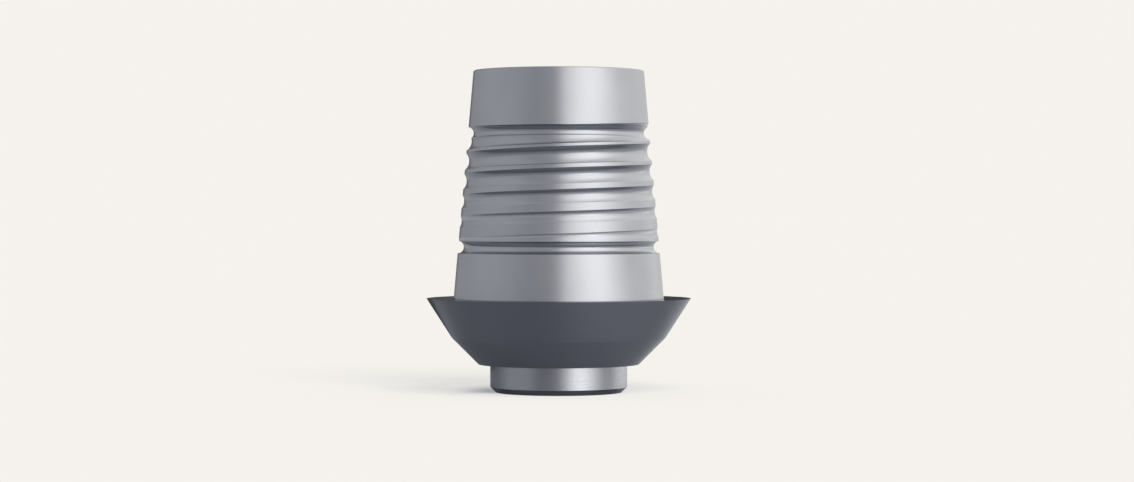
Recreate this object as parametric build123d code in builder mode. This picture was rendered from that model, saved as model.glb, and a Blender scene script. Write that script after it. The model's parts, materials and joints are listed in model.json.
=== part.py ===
from build123d import *
import math
import os

# Dental abutment: a titanium base that carries a cemented crown and is screwed down on an implant.
# It is one piece, turned from bar. Millimetres, +Z up the axis, origin in the middle of the foot's
# end face. Heights are measured from that face unless their comment says otherwise.

# Foot: the plain round spigot that centres the base in the implant's socket
foot_diameter = 2.49
foot_length = 0.51
foot_chamfer = 0.10

# Seat: the cone that bears on the implant's lead-in bevel
seat_ledge = 0.215          # flat step from the foot out to the start of the cone
seat_length = 0.48
seat_half_angle = 45.0      # degrees from the axis

# Collar: flares through the gum to the sharp margin where the crown ends
collar_length = 0.715
margin_diameter = 4.80
shelf_slope = 15.0          # degrees that the shelf inside the margin falls towards the post
shelf_fillet = 0.10

# Post: the cone that the crown is cemented on
post_length = 4.13          # margin to top
post_top_diameter = 3.094
post_half_angle = 5.0
post_edge_break = 0.015

# Ring grooves that bound the spiral, cut with a round-nosed tool
ring_tool_radius = 0.113
ring_depth = 0.102
lower_ring_height = 0.9315  # margin to the groove's middle
upper_ring_height = 2.9955

# Spiral groove that holds the cement: right-handed, one start. It leaves the lower ring with next
# to no depth and deepens evenly to its full depth at the upper ring.
spiral_pitch = 0.362
spiral_tool_radius = 0.2144
spiral_start_depth = 0.004
spiral_full_depth = 0.083
spiral_start_angle = 71.0   # degrees from +X, where it leaves the lower ring
spiral_overrun = 30.0       # degrees that it runs on past the upper ring before the tool lifts
spiral_runout = 0.75        # straight way on which the tool lifts clear, along the tangent
spiral_land = 0.018         # gap between one turn of the tool's path and the next

# Screw channel: wide for the screw's head from the top, narrow for its shank through the foot
channel_diameter = 2.35
channel_chamfer = 0.08
screw_seat_height = 1.25    # underside of the screw's head
screw_seat_half_angle = 45.0
shank_hole_diameter = 1.90
shank_hole_chamfer = 0.05

# Radii and heights that follow
foot_radius = foot_diameter / 2
seat_inner_radius = foot_radius + seat_ledge
seat_outer_radius = seat_inner_radius + seat_length * math.tan(math.radians(seat_half_angle))
margin_radius = margin_diameter / 2
post_top_radius = post_top_diameter / 2
channel_radius = channel_diameter / 2
shank_radius = shank_hole_diameter / 2

seat_top = foot_length + seat_length
margin_height = seat_top + collar_length
post_top = margin_height + post_length
lower_ring = margin_height + lower_ring_height
upper_ring = margin_height + upper_ring_height

post_slope = math.tan(math.radians(post_half_angle))
shelf_gradient = math.tan(math.radians(shelf_slope))


def post_radius(height):
    """Radius of the plain post cone at a height."""
    return post_top_radius + (post_top - height) * post_slope


# Where the falling shelf meets the post cone: r = margin_radius - (margin_height - z) / shelf_gradient
# and r = post_radius(z)
shelf_drop = (margin_radius - post_radius(margin_height)) / (1 / shelf_gradient + post_slope)
shelf_bottom = margin_height - shelf_drop

# The spiral's bottom line lies on a cone a little steeper than the post
spiral_rise = upper_ring - lower_ring
spiral_start_radius = post_radius(lower_ring) - spiral_start_depth
spiral_end_radius = post_radius(upper_ring) - spiral_full_depth
spiral_half_angle = math.atan((spiral_start_radius - spiral_end_radius) / spiral_rise)
spiral_height = spiral_rise + spiral_pitch * spiral_overrun / 360
tool_half_width = (spiral_pitch - spiral_land) / 2
tool_arc_depth = spiral_tool_radius - math.sqrt(spiral_tool_radius**2 - tool_half_width**2)
tool_reach = tool_arc_depth + 2 * spiral_full_depth

# Space that the round-nosed tool sweeps as it cuts the spiral and lifts clear
with BuildPart() as spiral_cut:
    with BuildLine(Plane.XY.offset(lower_ring)) as bottom_line:
        Helix(
            pitch=spiral_pitch / math.cos(spiral_half_angle),
            height=spiral_height,
            radius=spiral_start_radius,
            cone_angle=-math.degrees(spiral_half_angle),
        )
    # The line is taken in stretches of about half a turn, so that no swept face closes on itself
    stretches = 2 * math.ceil(spiral_height / spiral_pitch)
    helix = bottom_line.edge()
    path = Wire([helix.trim(i / stretches, (i + 1) / stretches) for i in range(stretches)])
    with BuildSketch(Plane(origin=path @ 0, x_dir=(1, 0, 0), z_dir=path % 0)):
        with BuildLine():
            ThreePointArc(
                (tool_arc_depth, -tool_half_width), (0, 0), (tool_arc_depth, tool_half_width)
            )
            Polyline(
                (tool_arc_depth, tool_half_width),
                (tool_reach, tool_half_width),
                (tool_reach, -tool_half_width),
                (tool_arc_depth, -tool_half_width),
            )
        make_face()
    sweep(path=path, is_frenet=True)
    last_face = spiral_cut.faces().filter_by(GeomType.PLANE).sort_by(Axis.Z)[-1]
    extrude(last_face, amount=spiral_runout)

with BuildPart() as abutment:
    # Outer form
    with BuildSketch(Plane.XZ) as outline:
        with BuildLine():
            Polyline(
                (0, 0),
                (foot_radius, 0),
                (foot_radius, foot_length),
                (seat_inner_radius, foot_length),
                (seat_outer_radius, seat_top),
                (margin_radius, margin_height),
                (post_radius(shelf_bottom), shelf_bottom),
                (post_top_radius, post_top),
                (0, post_top),
                close=True,
            )
        make_face()
        corners = outline.vertices()
        chamfer(corners.sort_by_distance((foot_radius, 0))[0], foot_chamfer)
        fillet(corners.sort_by_distance((post_radius(shelf_bottom), shelf_bottom))[0], shelf_fillet)
        chamfer(corners.sort_by_distance((post_top_radius, post_top))[0], post_edge_break)
    revolve(axis=Axis.Z)

    # Ring grooves
    with BuildSketch(Plane.XZ):
        for ring in (lower_ring, upper_ring):
            with Locations((post_radius(ring) - ring_depth + ring_tool_radius, ring)):
                Circle(ring_tool_radius)
    revolve(axis=Axis.Z, mode=Mode.SUBTRACT)

    # Spiral groove
    add(spiral_cut.part, rotation=(0, 0, spiral_start_angle), mode=Mode.SUBTRACT)

    # Screw channel, with the cone that the screw's head bears on
    seat_drop = (channel_radius - shank_radius) / math.tan(math.radians(screw_seat_half_angle))
    with BuildSketch(Plane.XZ):
        with BuildLine():
            Polyline(
                (0, 0),
                (shank_radius + shank_hole_chamfer, 0),
                (shank_radius, shank_hole_chamfer),
                (shank_radius, screw_seat_height - seat_drop),
                (channel_radius, screw_seat_height),
                (channel_radius, post_top - channel_chamfer),
                (channel_radius + channel_chamfer, post_top),
                (0, post_top),
                close=True,
            )
        make_face()
    revolve(axis=Axis.Z, mode=Mode.SUBTRACT)

abutment.part.label = "abutment_body"

os.makedirs("parts", exist_ok=True)
export_step(abutment.part, "parts/abutment_body.step")

print("solids", len(abutment.part.solids()), "volume mm3", round(abutment.part.volume, 3))
print("valid", abutment.part.is_valid, "faces", len(abutment.part.faces()))
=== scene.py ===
# %% [markdown]
# # A dental abutment in satin titanium
#
# The real object is a titanium base that a crown is cemented on. It is turned from one bar: a
# small round foot, a collar that flares out to a sharp margin, and a tapered post with two ring
# grooves and a spiral groove between them. The whole of it is under six millimetres high.
#
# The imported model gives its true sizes, but its mesh has only some thirty flats round the axis,
# which a close view shows. So this script turns the same part again with a fine mesh, cuts the
# spiral into it as the lathe would, and then gives it its finish and its light.

# %% The fixed frame
import json
import math
import bpy
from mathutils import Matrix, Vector


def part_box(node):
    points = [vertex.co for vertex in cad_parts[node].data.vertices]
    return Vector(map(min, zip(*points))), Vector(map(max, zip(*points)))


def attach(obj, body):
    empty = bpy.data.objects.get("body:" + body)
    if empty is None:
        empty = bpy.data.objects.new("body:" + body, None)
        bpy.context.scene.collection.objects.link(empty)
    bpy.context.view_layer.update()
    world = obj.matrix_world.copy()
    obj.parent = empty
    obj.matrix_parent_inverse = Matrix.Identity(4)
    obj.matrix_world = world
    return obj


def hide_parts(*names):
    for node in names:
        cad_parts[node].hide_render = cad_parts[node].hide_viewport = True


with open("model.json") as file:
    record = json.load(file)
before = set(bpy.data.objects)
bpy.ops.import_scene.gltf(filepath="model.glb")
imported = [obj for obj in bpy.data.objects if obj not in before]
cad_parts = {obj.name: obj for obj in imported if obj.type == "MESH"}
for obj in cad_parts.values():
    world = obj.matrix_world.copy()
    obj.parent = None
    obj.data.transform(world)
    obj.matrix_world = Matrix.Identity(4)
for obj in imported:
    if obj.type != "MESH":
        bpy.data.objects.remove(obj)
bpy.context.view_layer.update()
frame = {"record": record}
MM = 0.001
low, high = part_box("abutment_body")
mounts = {mount["name"]: mount for mount in frame["record"]["mounts"]}
print("packed part", [round((b - a) / MM, 3) for a, b in zip(low, high)], "mm")

# %% [markdown]
# ## The camera
#
# The photograph was taken almost level, with the eye at mid-height of the part, so the top face
# is hidden and the margin is seen as a very flat oval. The distance follows from how flat each
# oval is, and the lens from the width of the picture. It is set up first, so that every later
# step can be looked at from the right place.

# %% Camera at the photograph's angle
EYE_DISTANCE = 49.8 * MM
EYE_HEIGHT = 3.185 * MM
AIM = Vector((0.150 * MM, 0, 2.745 * MM))
LENS = 87.02

camera_data = bpy.data.cameras.new("camera")
camera = bpy.data.objects.new("camera", camera_data)
bpy.context.collection.objects.link(camera)
camera_data.lens = LENS
camera_data.sensor_width = 36
camera_data.clip_start = 1 * MM
camera_data.clip_end = 4000 * MM
camera.location = (0, -EYE_DISTANCE, EYE_HEIGHT)
camera.rotation_euler = (AIM - camera.location).to_track_quat("-Z", "Y").to_euler()
bpy.context.scene.camera = camera
print("camera", round(EYE_DISTANCE / MM, 1), "mm from the axis, lens", LENS, "mm")

# %% [markdown]
# ## Sizes
#
# Heights run from the foot's end face and radii from the axis. The overall height, the foot and
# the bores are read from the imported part, and the rest repeats the part's own drawing.

# %% Sizes of the turned form
foot_radius = mounts["foot"]["dims"]["r_mm"] * MM
foot_length = 0.51 * MM
foot_chamfer = 0.10 * MM
seat_ledge = 0.215 * MM
seat_length = 0.48 * MM
collar_length = 0.715 * MM
margin_radius = 2.40 * MM
shelf_slope = math.radians(15)
shelf_fillet = 0.10 * MM
post_slope = math.radians(5)
post_top_radius = 1.547 * MM
post_edge_break = 0.015 * MM
post_top = high.z
channel_radius = mounts["screw_channel"]["dims"]["r_mm"] * MM
channel_chamfer = 0.08 * MM
screw_seat_height = 1.25 * MM
shank_radius = mounts["shank_hole"]["dims"]["r_mm"] * MM
shank_chamfer = 0.05 * MM

seat_inner_radius = foot_radius + seat_ledge
seat_top = foot_length + seat_length
margin_height = seat_top + collar_length
lower_ring = margin_height + 0.9315 * MM
upper_ring = margin_height + 2.9955 * MM


def post_radius(height):
    """Radius of the plain post cone at a height."""
    return post_top_radius + (post_top - height) * math.tan(post_slope)


print("margin at", round(margin_height / MM, 3), "mm")
print("post", round((post_top - margin_height) / MM, 3), "mm long")

# %% [markdown]
# ## A pen for the outline
#
# A turned part is one outline spun round its axis. The outline starts as a plane merged to a
# single point. Each straight stretch is an extrusion of the last point, and each round stretch
# spins the last point about the tool's centre, just as the cutting tool would leave it. The pen
# keeps count of where it is.

# %% A pen that draws in the plane of X and Z
class Pen:
    """Draws an outline by extruding and spinning its last point."""

    def __init__(self, name, radius, height):
        bpy.ops.object.select_all(action="DESELECT")
        bpy.ops.mesh.primitive_plane_add(size=MM)
        self.piece = bpy.context.object
        self.piece.name = self.piece.data.name = name
        bpy.ops.object.mode_set(mode="EDIT")
        bpy.ops.mesh.merge(type="CENTER")
        bpy.ops.transform.translate(value=(radius, 0, height))
        self.radius, self.height = radius, height

    def line(self, radius, height):
        step = (radius - self.radius, 0, height - self.height)
        bpy.ops.mesh.extrude_region_move(TRANSFORM_OT_translate={"value": step})
        self.radius, self.height = radius, height

    def arc(self, centre_radius, centre_height, turn, steps):
        """The turn is in radians, and positive from +X towards +Z."""
        centre = (centre_radius, 0, centre_height)
        bpy.ops.mesh.spin(steps=steps, angle=turn, center=centre, axis=(0, 1, 0))
        across, up = self.radius - centre_radius, self.height - centre_height
        self.radius = centre_radius + across * math.cos(turn) - up * math.sin(turn)
        self.height = centre_height + across * math.sin(turn) + up * math.cos(turn)


# %% [markdown]
# ## Round stretches
#
# A round-nosed tool plunges in square to the axis, so each ring groove is a piece of a circle
# whose centre stands just outside the post. Where that circle meets the sloping post is a small
# calculation, and from there the pen runs round it. The fillet between the shelf and the post is
# the same idea with a circle that touches both.

# %% Ring grooves and the fillet
ring_tool_radius = 0.113 * MM
ring_depth = 0.102 * MM
RING_STEPS = 40
FILLET_STEPS = 20


def draw_ring(pen, height):
    """Leads the pen up to a ring groove and round its bottom."""
    centre = post_radius(height) - ring_depth + ring_tool_radius
    gap = (ring_tool_radius - ring_depth) * math.cos(post_slope)
    half = math.acos(gap / ring_tool_radius)
    enter = math.pi + post_slope + half
    pen.line(
        centre + ring_tool_radius * math.cos(enter), height + ring_tool_radius * math.sin(enter)
    )
    pen.arc(centre, height, -2 * half, RING_STEPS)


def draw_fillet(pen, corner_height):
    """Rounds the corner between the falling shelf and the post."""
    between = math.pi / 2 + post_slope - shelf_slope
    reach = shelf_fillet / math.tan(between / 2)
    start_radius = post_radius(corner_height) + reach * math.cos(shelf_slope)
    start_height = corner_height + reach * math.sin(shelf_slope)
    pen.line(start_radius, start_height)
    centre_radius = start_radius - shelf_fillet * math.sin(shelf_slope)
    centre_height = start_height + shelf_fillet * math.cos(shelf_slope)
    pen.arc(centre_radius, centre_height, between - math.pi, FILLET_STEPS)


print("ring grooves", round(ring_depth / MM, 3), "mm deep")

# %% [markdown]
# ## The outline
#
# The pen starts at the hole in the foot's end face, goes out and up over the foot, the seat, the
# collar, the shelf and the post, and comes back down inside the screw channel to where it began.
# Each corner is named by the sizes that set it, so a change of size moves it along.

# %% The outline, up the outside and back down the screw channel
shelf_width = margin_radius - post_radius(margin_height)
shelf_drop = shelf_width / (1 / math.tan(shelf_slope) + math.tan(post_slope))

pen = Pen("abutment", shank_radius + shank_chamfer, 0)
pen.line(foot_radius - foot_chamfer, 0)
pen.line(foot_radius, foot_chamfer)
pen.line(foot_radius, foot_length)
pen.line(seat_inner_radius, foot_length)
pen.line(seat_inner_radius + seat_length, seat_top)
pen.line(margin_radius, margin_height)
draw_fillet(pen, margin_height - shelf_drop)
draw_ring(pen, lower_ring)
draw_ring(pen, upper_ring)
pen.line(post_radius(post_top - post_edge_break), post_top - post_edge_break)
pen.line(post_top_radius - post_edge_break, post_top)
pen.line(channel_radius + channel_chamfer, post_top)
pen.line(channel_radius, post_top - channel_chamfer)
pen.line(channel_radius, screw_seat_height)
pen.line(shank_radius, screw_seat_height - (channel_radius - shank_radius))
pen.line(shank_radius, shank_chamfer)
pen.line(shank_radius + shank_chamfer, 0)
abutment = pen.piece
print("outline closed at", round(pen.radius / MM, 3), round(pen.height / MM, 3), "mm")

# %% [markdown]
# ## Turning it
#
# Spin carries the outline round the axis. It is a closed loop that stays clear of the axis, so it
# makes a closed ring of metal with the screw channel through it. The first and last stations lie
# on each other and are merged, and the normals are then set to point out.

# %% Spin the outline round the axis
AROUND = 288
SAME_PLACE = 0.00002 * MM

bpy.ops.mesh.select_all(action="SELECT")
bpy.ops.mesh.spin(steps=AROUND, angle=math.tau, center=(0, 0, 0), axis=(0, 0, 1))
bpy.ops.mesh.select_all(action="SELECT")
bpy.ops.mesh.remove_doubles(threshold=SAME_PLACE)
bpy.ops.mesh.normals_make_consistent(inside=False)
bpy.ops.object.mode_set(mode="OBJECT")
print("turned blank", len(abutment.data.polygons), "faces")

# %% [markdown]
# ## The spiral groove
#
# The spiral is right-handed with one start. It leaves the lower ring with next to no depth,
# deepens evenly up to the upper ring, and then the tool lifts away along the tangent. Its path is
# a curve on a cone, and the nose of the tool is a second, flat curve that bevels the first. That
# keeps the nose the same all the way up, which a tapered screw modifier wouldn't.

# %% Path of the tool
spiral_pitch = 0.362 * MM
spiral_start_depth = 0.004 * MM
spiral_full_depth = 0.083 * MM
spiral_start = math.radians(71)
spiral_overrun = math.radians(30)
spiral_runout = 0.75 * MM
STEPS_PER_TURN = 172

ring_gap = upper_ring - lower_ring
start_radius = post_radius(lower_ring) - spiral_start_depth
end_radius = post_radius(upper_ring) - spiral_full_depth
inward = (start_radius - end_radius) / ring_gap
turning = math.tau * ring_gap / spiral_pitch + spiral_overrun
stations = round(STEPS_PER_TURN * turning / math.tau)


def tool_place(angle):
    """Bottom of the groove after the tool has gone round by an angle."""
    climb = spiral_pitch * angle / math.tau
    radius = start_radius - climb * inward
    around = spiral_start + angle
    return Vector((radius * math.cos(around), radius * math.sin(around), lower_ring + climb))


path = [tool_place(turning * i / stations) for i in range(stations + 1)]
path.append(path[-1] + (path[-1] - path[-2]).normalized() * spiral_runout)
print("spiral", round(turning / math.tau, 2), "turns,", len(path), "stations")

# %% Nose of the tool
spiral_tool_radius = 0.2144 * MM
spiral_land = 0.018 * MM
NOSE_STEPS = 28

half_width = (spiral_pitch - spiral_land) / 2
half_nose = math.asin(half_width / spiral_tool_radius)
nose = []
for i in range(NOSE_STEPS + 1):
    turn = half_nose * (2 * i / NOSE_STEPS - 1)
    depth = spiral_tool_radius * (1 - math.cos(turn))
    nose.append((depth, spiral_tool_radius * math.sin(turn), 0))
reach = nose[0][0] + 2 * spiral_full_depth
nose += [(reach, half_width, 0), (reach, -half_width, 0)]
print("nose", round(2 * half_width / MM, 3), "mm wide,", len(nose), "points")

# %% Sweep the nose along the path
def straight_spans(name, points, closed):
    """A curve of straight spans through the points."""
    data = bpy.data.curves.new(name, "CURVE")
    data.dimensions = "3D"
    spline = data.splines.new("POLY")
    spline.points.add(len(points) - 1)
    for made, point in zip(spline.points, points):
        made.co = (*point, 1)
    spline.use_cyclic_u = closed
    curve = bpy.data.objects.new(name, data)
    bpy.context.collection.objects.link(curve)
    return curve


nose_curve = straight_spans("tool_nose", nose, True)
tool = straight_spans("spiral_tool", path, False)
tool.data.twist_mode = "Z_UP"
tool.data.bevel_mode = "OBJECT"
tool.data.bevel_object = nose_curve
tool.data.use_fill_caps = True
bpy.ops.object.select_all(action="DESELECT")
tool.select_set(True)
bpy.context.view_layer.objects.active = tool
bpy.ops.object.convert(target="MESH")
bpy.data.objects.remove(nose_curve)
print("spiral tool", len(tool.data.polygons), "faces")

# %% [markdown]
# ## Cutting the spiral
#
# The exact solver handles the many long thin faces well. Once it has run, the tool is thrown
# away. Smooth shading is kept to edges that turn by less than a few degrees, just above the step
# between two faces of a groove, so a sharp edge stays sharp and a round one looks round.

# %% Take the swept space away from the blank
SHARP_FROM = math.radians(9)

bpy.ops.object.select_all(action="DESELECT")
abutment.select_set(True)
bpy.context.view_layer.objects.active = abutment
cut = abutment.modifiers.new("spiral", "BOOLEAN")
cut.operation = "DIFFERENCE"
cut.solver = "EXACT"
cut.object = tool
bpy.ops.object.modifier_apply(modifier=cut.name)
bpy.data.objects.remove(tool)
bpy.ops.object.shade_smooth_by_angle(angle=SHARP_FROM, keep_sharp_edges=False)
triangles = sum(len(face.vertices) - 2 for face in abutment.data.polygons)
print("cut part", triangles, "triangles")

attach(abutment, "root")
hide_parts("abutment_body")

# %% [markdown]
# ## Shader maths in words
#
# A finish is easier to read as expressions than as a list of nodes. Socket wraps one output of
# a node tree, so that `1 - mask` or `height * 4` adds the nodes that do it. Sheet adds any other
# node: its settings go first, because they decide which inputs it has.

# %% A socket that takes part in sums
class Socket:
    """One output of a node tree, for use in an expression."""

    def __init__(self, sheet, output):
        self.sheet, self.output = sheet, output

    def maths(self, operation, *values):
        inputs = dict(enumerate(values))
        return self.sheet.node("Math", {"operation": operation}, inputs)

    def __add__(self, other):
        return self.maths("ADD", self, other)

    __radd__ = __add__

    def __sub__(self, other):
        return self.maths("SUBTRACT", self, other)

    def __rsub__(self, other):
        return self.maths("SUBTRACT", other, self)

    def __mul__(self, other):
        return self.maths("MULTIPLY", self, other)

    __rmul__ = __mul__

    def __pow__(self, other):
        return self.maths("POWER", self, other)

    def rises(self, start, end):
        """0 before start and 1 after end with a soft step. Start may be the larger."""
        settings = {"interpolation_type": "SMOOTHSTEP"}
        inputs = {"Value": self, "From Min": start, "From Max": end}
        return self.sheet.node("MapRange", settings, inputs)


# %% A sheet to lay out nodes on
class Sheet:
    """The node tree of a material or a world."""

    def __init__(self, owner):
        owner.use_nodes = True
        self.tree = owner.node_tree
        self.tree.nodes.clear()

    def node(self, kind, settings=None, inputs=None, output=0):
        """Adds a node, sets it, and gives its inputs their values or links."""
        made = self.tree.nodes.new("ShaderNode" + kind)
        for name, value in (settings or {}).items():
            setattr(made, name, value)
        for name, value in (inputs or {}).items():
            if isinstance(value, Socket):
                self.tree.links.new(value.output, made.inputs[name])
            else:
                made.inputs[name].default_value = value
        return Socket(self, made.outputs[output]) if len(made.outputs) else None

    def split(self, vector):
        """The X, Y and Z of a vector."""
        parts = self.node("SeparateXYZ", inputs={0: vector}).output.node
        return [Socket(self, part) for part in parts.outputs]

    def blend(self, factor, start, end):
        """A colour from start to end."""
        inputs = {0: factor, 6: start, 7: end}
        return self.node("Mix", {"data_type": "RGBA"}, inputs, output=2)

    def place(self):
        """Object coordinates in millimetres."""
        here = self.node("TexCoord", output=3)
        return self.node("VectorMath", {"operation": "SCALE"}, {0: here, "Scale": 1 / MM})


# %% [markdown]
# ## Satin titanium
#
# The bar is titanium alloy, a slightly cool grey metal. The cutting tool leaves marks that run
# round it, far finer than the grooves, so they only soften its shine and are never seen one by
# one. A bump that follows the height gives them, and a slow change in roughness keeps wide faces
# from looking like plastic. All of it is in Object coordinates, so the marks stay level.

# %% Marks of the turning tool
titanium = bpy.data.materials.new("satin titanium")
sheet = Sheet(titanium)
place = sheet.place()
x, y, z = sheet.split(place)
radius = (x * x + y * y) ** 0.5

FINE_MARKS = 55
MARK_DEPTH = 0.0006 * MM
squeezed = {0: place, 1: (0.4, 0.4, FINE_MARKS)}
level_rings = sheet.node("VectorMath", {"operation": "MULTIPLY"}, squeezed)
marks = sheet.node("TexNoise", inputs={"Vector": level_rings, "Scale": 1.0, "Detail": 3.0})
turned = sheet.node("Bump", inputs={"Height": marks, "Distance": MARK_DEPTH, "Strength": 1.0})
clouds = sheet.node("TexNoise", inputs={"Vector": place, "Scale": 0.9, "Detail": 2.0})
print("turning marks about", round(1000 / FINE_MARKS), "micrometres apart")

# %% [markdown]
# ## Painted shade on the collar and in the grooves
#
# In the photograph the collar is dark grey from the ledge under its lower cone up to the margin
# and in over the shelf, and it ends where the post begins. It faces down, and its darker base
# colour is painted shade that stands in for the dark it reflects; the dark plate below gives the
# rest. Only its outermost rims are bright, as they are on any smooth dark surface that is seen at
# a grazing angle. The undersides of the grooves get painted shade too, the more so the deeper the
# spiral gets, and it grades softly into the bright bottom of the groove. A mask by height and
# radius finds the collar, and one by height and by the way the surface faces finds the undersides.

# %% Where the collar and the undersides are
EDGE = 0.004
LEDGE_BRIGHT = 0.06
LOWER_RING_SHADE = 0.75
FULL_SHADE_UP = 1.4

ledge_z = foot_length / MM
margin_z = margin_height / MM
ledge_start = foot_radius / MM + LEDGE_BRIGHT
# where the collar's painted shade goes; the same mask also lowers its roughness
collar = z.rises(ledge_z - 2 * EDGE, ledge_z - EDGE) * z.rises(margin_z + EDGE, margin_z)
collar = collar * radius.rises(ledge_start, ledge_start + EDGE)

facing = sheet.split(sheet.node("TexCoord", output=1))[2]
grooved = z.rises(lower_ring / MM - 0.12, lower_ring / MM - 0.10)
grooved = grooved * z.rises(upper_ring / MM + 0.14, upper_ring / MM + 0.12)
outside = radius.rises(channel_radius / MM + 0.05, channel_radius / MM + 0.10)
above_ring = z - lower_ring / MM
deep = LOWER_RING_SHADE * above_ring.rises(0.16, 0.12) + above_ring.rises(0, FULL_SHADE_UP)
# where the painted shade on the groove undersides goes, stronger higher up where the spiral is
# deeper
underside = facing.rises(0.05, -0.12) * grooved * outside * deep
print("dark collar from", round(ledge_z, 3), "to", round(margin_z, 3), "mm")

# %% Colours of the metal
TITANIUM = (0.56, 0.57, 0.60, 1)
CLOUDED = (0.53, 0.54, 0.57, 1)
# painted shade on the undersides of the grooves
UNDERSIDE_SHADE_GREY = (0.35, 0.363, 0.395, 1)
# painted shade on the collar, standing in for the dark it reflects as it faces down
COLLAR_SHADE_GREY = (0.275, 0.285, 0.315, 1)

base = sheet.blend(clouds.rises(0.3, 0.7), TITANIUM, CLOUDED)
# painted shade on the groove undersides
base = sheet.blend(underside, base, UNDERSIDE_SHADE_GREY)
# painted shade on the collar
base = sheet.blend(collar, base, COLLAR_SHADE_GREY)
roughness = 0.245 + 0.03 * clouds - 0.03 * collar
inputs = {"Base Color": base, "Metallic": 1.0, "Roughness": roughness, "Normal": turned}
metal = sheet.node("BsdfPrincipled", inputs=inputs)
sheet.node("OutputMaterial", inputs={"Surface": metal})
abutment.data.materials.clear()
abutment.data.materials.append(titanium)
print("titanium on", abutment.name)

# %% [markdown]
# ## Background and floor
#
# The background is one pale warm white right down to the floor, with no horizon. The camera sees
# it at full strength, and so do the rays that a shiny surface sends out. What lights matt
# surfaces is weaker, because the key lamp adds its part. The floor glows with the background's
# colour less the part of it that is lit, so it can show a shadow, and both add up to the same pale
# white where no shadow falls. Close to the foot, on its left, the shadow is much deeper, so there
# more of the floor is lit. The lit part is a little warmer than the whole, which keeps the shadow
# a neutral grey, as it is in the photograph.

# %% Pale background
PALE = (0.913, 0.888, 0.847, 1)
SKY = 0.37

world = bpy.data.worlds.new("studio")
bpy.context.scene.world = world
sheet = Sheet(world)
rays = sheet.node("LightPath").output.node.outputs
camera_ray, glossy_ray, clear_ray = (
    Socket(sheet, rays[f"Is {kind} Ray"]) for kind in ("Camera", "Glossy", "Transmission")
)
soft_light = sheet.node("Background", inputs={"Color": (1, 1, 1, 1), "Strength": SKY})
pale = sheet.node("Background", inputs={"Color": PALE})
shown = {0: camera_ray + glossy_ray + clear_ray, 1: soft_light, 2: pale}
sheet.node("OutputWorld", inputs={"Surface": sheet.node("MixShader", inputs=shown)})
print("the sky gives", SKY, "of the light on the floor")

# %% Floor that keeps the shadow
SHADOW_SHARE = 0.25
CONTACT_SHARE = 0.48
CONTACT_X = -1.2
CONTACT_Y = 0.4
CONTACT_REACH = 1.15
CONTACT_STRETCH = 0.18
WARM_PALE = (0.965, 0.888, 0.760)


def prop(name, finish, see=("glossy",)):
    """Makes the newest object part of the stage, seen only by the kinds of ray given."""
    made = bpy.context.object
    made.name = made.data.name = name
    made.data.materials.append(finish)
    made.visible_camera = "camera" in see
    made.visible_diffuse = "diffuse" in see
    made.visible_shadow = "shadow" in see


floor_paint = bpy.data.materials.new("pale floor")
sheet = Sheet(floor_paint)
x, y, _ = sheet.split(sheet.place())
sideways = x - CONTACT_X
backwards = y - CONTACT_Y
from_contact = (sideways * sideways + CONTACT_STRETCH * backwards * backwards) ** 0.5
contact = from_contact.rises(CONTACT_REACH, 0) ** 2 * y.rises(-0.8, 0)
share = SHADOW_SHARE + CONTACT_SHARE * contact
lit = sheet.node("VectorMath", {"operation": "SCALE"}, {0: WARM_PALE, "Scale": share})
rest = sheet.node("VectorMath", {"operation": "SUBTRACT"}, {0: PALE[:3], 1: lit})
matt = sheet.node("BsdfDiffuse", inputs={"Color": lit})
glow = sheet.node("Emission", inputs={"Color": rest})
sheet.node("OutputMaterial", inputs={"Surface": sheet.node("AddShader", inputs={0: matt, 1: glow})})

bpy.ops.object.select_all(action="DESELECT")
bpy.ops.mesh.primitive_plane_add(size=4000 * MM)
prop("floor", floor_paint, ("camera", "diffuse", "shadow"))
print("floor lit by", SHADOW_SHARE, "and beside the foot by", SHADOW_SHARE + CONTACT_SHARE)

# %% [markdown]
# ## Key lamp
#
# The shadow in the photograph is soft, falls behind the part and shows mostly on its left. So the
# main light is wide, stands at middle height in front and a little to the right. A sun lamp lights
# the whole floor evenly, and its wide angle makes the soft edge. The metal doesn't see it, because
# the tent below gives it a better lamp to reflect.

# %% A wide sun from the front right
KEY_HEIGHT = math.radians(45)
KEY_ROUND = math.radians(24)
KEY_WIDTH = math.radians(36)

key_data = bpy.data.lights.new("key", "SUN")
key = bpy.data.objects.new("key", key_data)
bpy.context.collection.objects.link(key)
key_data.angle = KEY_WIDTH
key_data.energy = (1 - SKY) * math.pi / math.sin(KEY_HEIGHT)
key.visible_glossy = False
along = math.cos(KEY_HEIGHT)
towards = Vector((along * math.sin(KEY_ROUND), -along * math.cos(KEY_ROUND), math.sin(KEY_HEIGHT)))
key.rotation_euler = towards.to_track_quat("Z", "Y").to_euler()
print("key lamp", round(key_data.energy, 2))

# %% [markdown]
# ## What the metal reflects
#
# Bare metal has no look of its own: it shows its surroundings. Small shiny parts are therefore
# photographed on a dark polished plate inside a tent of cloth. The plate darkens all that faces
# down. Its glow is a painted reflection of what it would mirror: more on the right, where the tent
# is white, and next to nothing close to the foot, where a painted shadow of the foot also darkens
# its colour. Further out the painted reflection turns lighter, standing for lighter cloth, so the
# post is bright from above too. The camera sees none of this, only the metal does.

# %% Dark polished plate under the part
PLATE_GREY = (0.118, 0.125, 0.140, 1)
SHEEN_LEFT = (0.087, 0.092, 0.103, 1)
SHEEN_RIGHT = (0.186, 0.194, 0.210, 1)
FAR_SHEEN = (0.020, 0.021, 0.023, 1)
# painted shadow of the foot on the plate
PAINTED_FOOT_SHADOW = (0.028, 0.030, 0.036, 1)
BACK_SHEEN = (0.17, 0.18, 0.195, 1)
CLOTH_SHEEN = (0.24, 0.24, 0.25, 1)

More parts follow.
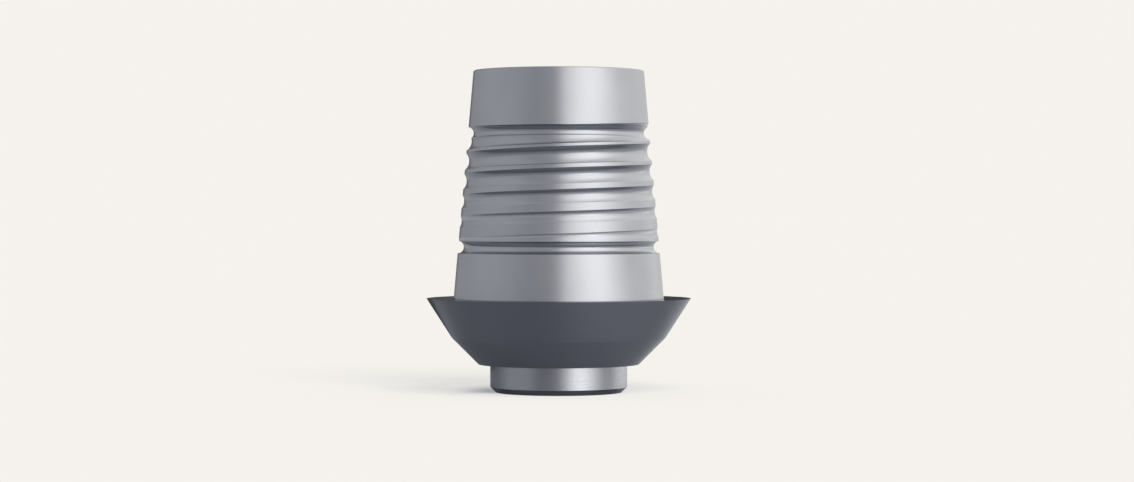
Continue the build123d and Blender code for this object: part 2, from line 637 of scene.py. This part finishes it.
plate_finish = bpy.data.materials.new("dark polished plate")
sheet = Sheet(plate_finish)
x, y, _ = sheet.split(sheet.place())
radius = (x * x + y * y) ** 0.5
outwards = 0.62 + 0.38 * radius.rises(2.1, 2.8)
forwards = 1 - 0.6 * y.rises(-1.9, 0.3)
right = x.rises(-1.0, 2.2) * outwards * forwards
behind = radius.rises(3.4, 4.4) * y.rises(0.6, 2.4)
by_foot = radius.rises(1.45, 1.27)
# the plate's glow is a painted reflection, lighter far out where it stands for lighter cloth
sheen = sheet.blend(right, SHEEN_LEFT, SHEEN_RIGHT)
sheen = sheet.blend(radius.rises(4.4, 6.0), sheen, FAR_SHEEN)
sheen = sheet.blend(behind, sheen, BACK_SHEEN)
sheen = sheet.blend(radius.rises(8, 12), sheen, CLOTH_SHEEN)
# painted shadow of the foot in the glow
sheen = sheet.blend(by_foot, sheen, PAINTED_FOOT_SHADOW)
# painted shadow of the foot in the base colour
plate_grey = sheet.blend(by_foot, PLATE_GREY, PAINTED_FOOT_SHADOW)
inputs = {"Base Color": plate_grey, "Roughness": 0.05, "IOR": 1.5}
inputs |= {"Emission Color": sheen, "Emission Strength": 1.0}
polished = sheet.node("BsdfPrincipled", inputs=inputs)
sheet.node("OutputMaterial", inputs={"Surface": polished})

PLATE_RADIUS = 150 * MM
just_over_floor = (0, 0, 0.003 * MM)
bpy.ops.object.select_all(action="DESELECT")
bpy.ops.mesh.primitive_circle_add(
    vertices=64, radius=PLATE_RADIUS, fill_type="NGON", location=just_over_floor
)
prop("plate", plate_finish)
print("plate", round(2 * PLATE_RADIUS / MM), "mm across")

# %% [markdown]
# ## The tent and the low cards
#
# The tent is a sphere of cloth that glows by direction: white on the right and grey on the left,
# with a lamp behind it at the right front and strips of light just above the plate. Low down the
# cloth is a little dimmer, most of all under the lamp. Low dark cards round the foot keep some of
# that light off it. Each patch of light is a mask by the angle round the part and the angle above
# the floor, so it can be moved like a lamp.

# %% Directions round the part
DEGREES = 180 / math.pi


def directions(sheet):
    """Angle round the axis, 0 towards the camera and more to the right, and height angle."""
    here = sheet.node("TexCoord", output=3)
    outward = sheet.node("VectorMath", {"operation": "NORMALIZE"}, {0: here})
    east, north, up = sheet.split(outward)
    around = east.maths("ARCTAN2", east, 0 - north) * DEGREES
    return around, up.maths("ARCSINE", up) * DEGREES


def patch(angle, middle, reach, core):
    """1 within the core on both sides of the middle angle and 0 past the reach."""
    gap = angle - middle
    return gap.maths("ABSOLUTE", gap).rises(reach, core)


print("a turn is", round(math.tau * DEGREES), "degrees")

# %% Cloth of the tent
COOL = (0.98, 1.0, 1.06, 1)
WARM = (1.0, 1.0, 0.985, 1)
GREY_SIDE = 0.392
WHITE_SIDE = 0.893
LEFT_GLOW = 0.075
FRONT_LEFT_DIM = 0.03
UNDER_LAMP_DIM = 0.14
RIGHT_LIFT = 0.13
RIGHT_FLAG = 0.55
BACK_DARK = 0.8

cloth = bpy.data.materials.new("tent cloth")
cloth.cycles.emission_sampling = "NONE"
sheet = Sheet(cloth)
around, height = directions(sheet)
white = around.rises(-4, 10) * around.rises(179, 170)
near_floor = height.rises(6.5, 1)
low_dim = 0.10 + 0.04 * white + 0.05 * around.rises(100, 140)
low_dim = low_dim + UNDER_LAMP_DIM * patch(around, 34, 22, 6)
low_dim = low_dim - RIGHT_LIFT * patch(around, 86, 24, 8)
dimmed = low_dim * height.rises(13, 5)
flag = RIGHT_FLAG * patch(around, 84, 24, 8) * near_floor
back = (around.rises(-150, -164) + around.rises(172, 179)) * height.rises(75, 45)

level = GREY_SIDE + LEFT_GLOW * patch(around, -90, 60, 10)
level = level - FRONT_LEFT_DIM * patch(around, -28, 28, 4)
level = level + (WHITE_SIDE - GREY_SIDE) * white * (1 - 0.1 * height.rises(20, 75))
level = level * (1 - flag)
print("tent grey", GREY_SIDE, "white", WHITE_SIDE)

# %% Lamp and strips of light behind the cloth
LAMP = 0.69
LAMP_AROUND = 43
LAMP_HEIGHT = 26
LAMP_FLATTER = 0.7
LAMP_REACH = 52
FRONT_STRIP = 1.98
BACK_STRIP = 0.4

sideways = around - LAMP_AROUND
upwards = height - LAMP_HEIGHT
from_lamp = (sideways * sideways + LAMP_FLATTER * upwards * upwards) ** 0.5
lamp = LAMP * from_lamp.rises(LAMP_REACH, 2)
strips = FRONT_STRIP * patch(around, 35.5, 28, 2) + BACK_STRIP * patch(around, 130, 24, 3)
level = ((level + lamp) * (1 - dimmed) + strips * near_floor) * (1 - BACK_DARK * back)
tint = sheet.blend(white, COOL, WARM)
colour = sheet.node("VectorMath", {"operation": "SCALE"}, {0: tint, "Scale": level})
surface = sheet.node("Emission", inputs={"Color": colour})
sheet.node("OutputMaterial", inputs={"Surface": surface})

TENT_RADIUS = 200 * MM
bpy.ops.object.select_all(action="DESELECT")
bpy.ops.mesh.primitive_uv_sphere_add(segments=96, ring_count=48, radius=TENT_RADIUS)
bpy.ops.object.shade_smooth()
prop("tent", cloth)
print("lamp", LAMP_AROUND, "degrees to the right and", LAMP_HEIGHT, "up")

# %% Low dark cards round the foot
FRONT_LEFT_CARD = 0.22
BACK_LEFT_CARD = 0.7
FRONT_CARD = 0.52
RIGHT_CARD = 0.32
CARD_BLACK = (0.03, 0.03, 0.035, 1)

card = bpy.data.materials.new("low dark cards")
sheet = Sheet(card)
around, height = directions(sheet)
cover = FRONT_LEFT_CARD * around.rises(-5, -30) + BACK_LEFT_CARD * around.rises(-75, -125)
cover = cover + FRONT_CARD * patch(around, -15, 38, 4) + RIGHT_CARD * patch(around, 80, 24, 6)
open_air = sheet.node("BsdfTransparent")
dark = sheet.node("Emission", inputs={"Color": CARD_BLACK})
surface = sheet.node("MixShader", inputs={0: cover, 1: open_air, 2: dark})
sheet.node("OutputMaterial", inputs={"Surface": surface})

CARD_RADIUS = 6.5 * MM
CARD_HEIGHT = 1.1 * MM
card_middle = (0, 0, 0.5 * MM)
bpy.ops.object.select_all(action="DESELECT")
bpy.ops.mesh.primitive_cylinder_add(
    vertices=96,
    radius=CARD_RADIUS,
    depth=CARD_HEIGHT,
    end_fill_type="NOTHING",
    location=card_middle,
)
bpy.ops.object.shade_smooth()
prop("low_cards", card)
print("cards", round(CARD_RADIUS / MM, 1), "mm from the axis")

# %% [markdown]
# ## Finish
#
# Colours are shown as they are, with no film look.

# %% Colours as they are
bpy.context.scene.view_settings.view_transform = "Standard"
